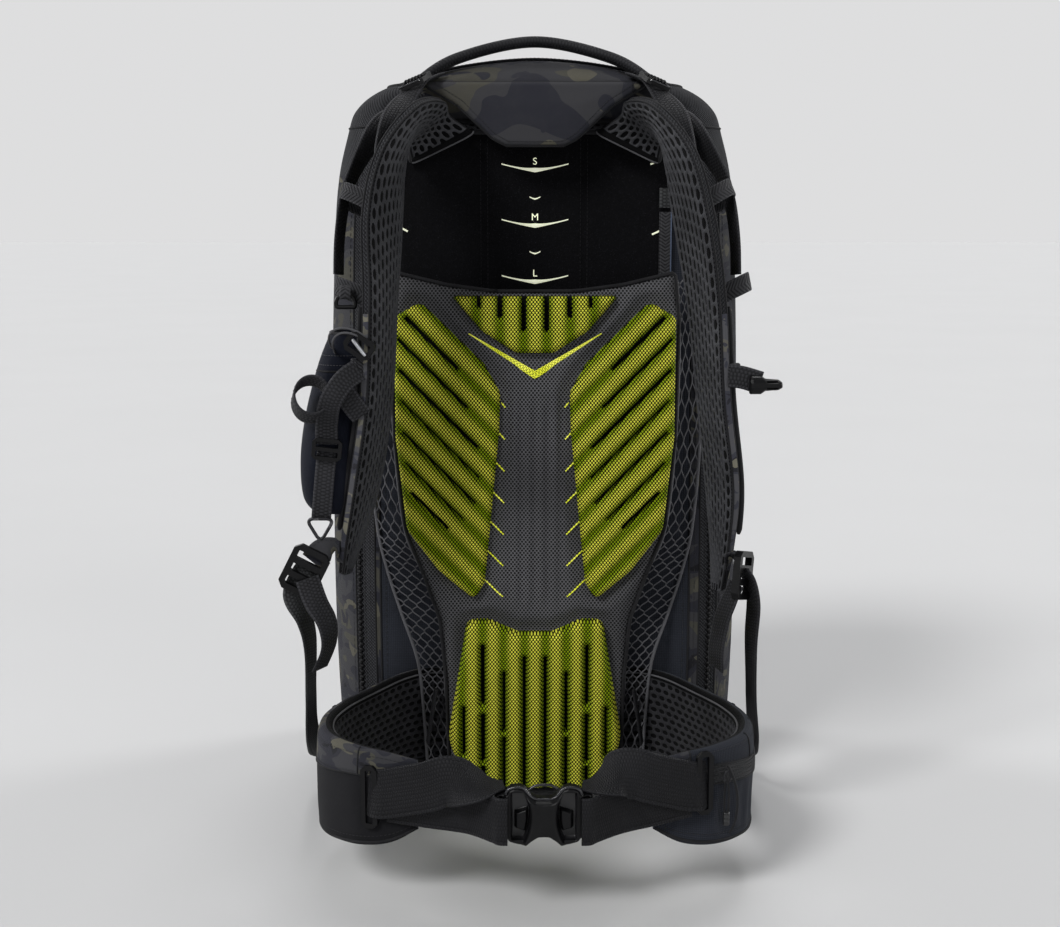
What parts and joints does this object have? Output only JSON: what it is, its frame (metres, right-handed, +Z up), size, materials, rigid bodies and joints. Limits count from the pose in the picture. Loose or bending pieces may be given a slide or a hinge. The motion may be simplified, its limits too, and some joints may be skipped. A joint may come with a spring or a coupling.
{
  "type": "camera backpack",
  "caption": "Hollow camera backpack with an open air back panel, slotted foam pads, side nets, padded shoulder straps and a fastened padded hip belt, standing on its base.",
  "frame": {"origin": "middle of the bag's flat base, on the floor it stands on", "axes": "+Z up, the harness faces -Y, +X is on the right of a viewer who looks at the harness"},
  "size_m": [0.4136, 0.5234, 0.6787],
  "materials": {
    "bag_cloth": "coarse woven nylon, matte",
    "camo_cloth": "woven nylon printed in a general camouflage, matte",
    "loop_cloth": "brushed loop cloth with pale size marks",
    "spacer_mesh": "padded spacer mesh with oval holes",
    "air_mesh": "fine grey mesh",
    "foam": "yellow green foam seen through fine black mesh",
    "net": "coarse knotless net",
    "wing_cloth": "padded cloth with a mesh inner face",
    "webbing": "woven webbing",
    "elastic": "ribbed elastic band",
    "rail_sleeve": "cloth sleeve on a cord",
    "stretch_cloth": "dark blue stretch cloth",
    "buckle_plastic": "moulded black plastic, slight gloss",
    "hook_metal": "dark coated wire",
    "zip_pull": "moulded pull"
  },
  "bodies": {
    "root": {"bag_shell": "bag_cloth", "lid": "camo_cloth", "lid_tongue": "camo_cloth", "back_board": "loop_cloth", "stay_sleeve": "webbing", "yoke": "spacer_mesh", "back_panel": "air_mesh", "back_pad_top": "foam", "back_pad_left": "foam", "back_pad_right": "foam", "lumbar_pad": "foam", "side_net_left": "net", "side_net_right": "net", "shoulder_strap_left": "spacer_mesh", "shoulder_strap_right": "spacer_mesh", "hip_wing_left": "wing_cloth", "hip_wing_right": "wing_cloth", "haul_handle": "webbing", "rear_handle_strap": "webbing", "load_lifter_left": "webbing", "load_lifter_right": "webbing", "lifter_tail_left": "webbing", "lifter_tail_right": "webbing", "lifter_buckle_left": "buckle_plastic", "lifter_buckle_right": "buckle_plastic", "keeper_upper_left": "elastic", "keeper_upper_right": "elastic", "keeper_lower_left": "elastic", "keeper_lower_right": "elastic", "chest_rail_left": "rail_sleeve", "chest_rail_right": "rail_sleeve", "chest_slider_left": "buckle_plastic", "chest_slider_right": "buckle_plastic", "chest_web_left": "webbing", "chest_web_right": "webbing", "chest_loop": "webbing", "chest_tab": "webbing", "chest_clip_left": "buckle_plastic", "chest_buckle_right": "buckle_plastic", "strap_pouch": "stretch_cloth", "pouch_web": "webbing", "pouch_slide": "buckle_plastic", "pouch_hook": "hook_metal", "adjuster_lock_left": "buckle_plastic", "adjuster_lock_right": "buckle_plastic", "adjuster_tab_left": "webbing", "adjuster_tab_right": "webbing", "adjuster_web_left": "webbing", "adjuster_web_right": "webbing", "adjuster_tail_left": "webbing", "adjuster_tail_right": "webbing", "tip_ring_left": "buckle_plastic", "tip_ring_right": "buckle_plastic", "belt_upper_left": "webbing", "belt_upper_right": "webbing", "belt_lower_left": "webbing", "belt_lower_right": "webbing", "belt_buckle_socket": "buckle_plastic", "belt_buckle_plug": "buckle_plastic", "wing_zip_pull": "zip_pull"}
  },
  "joints": []
}
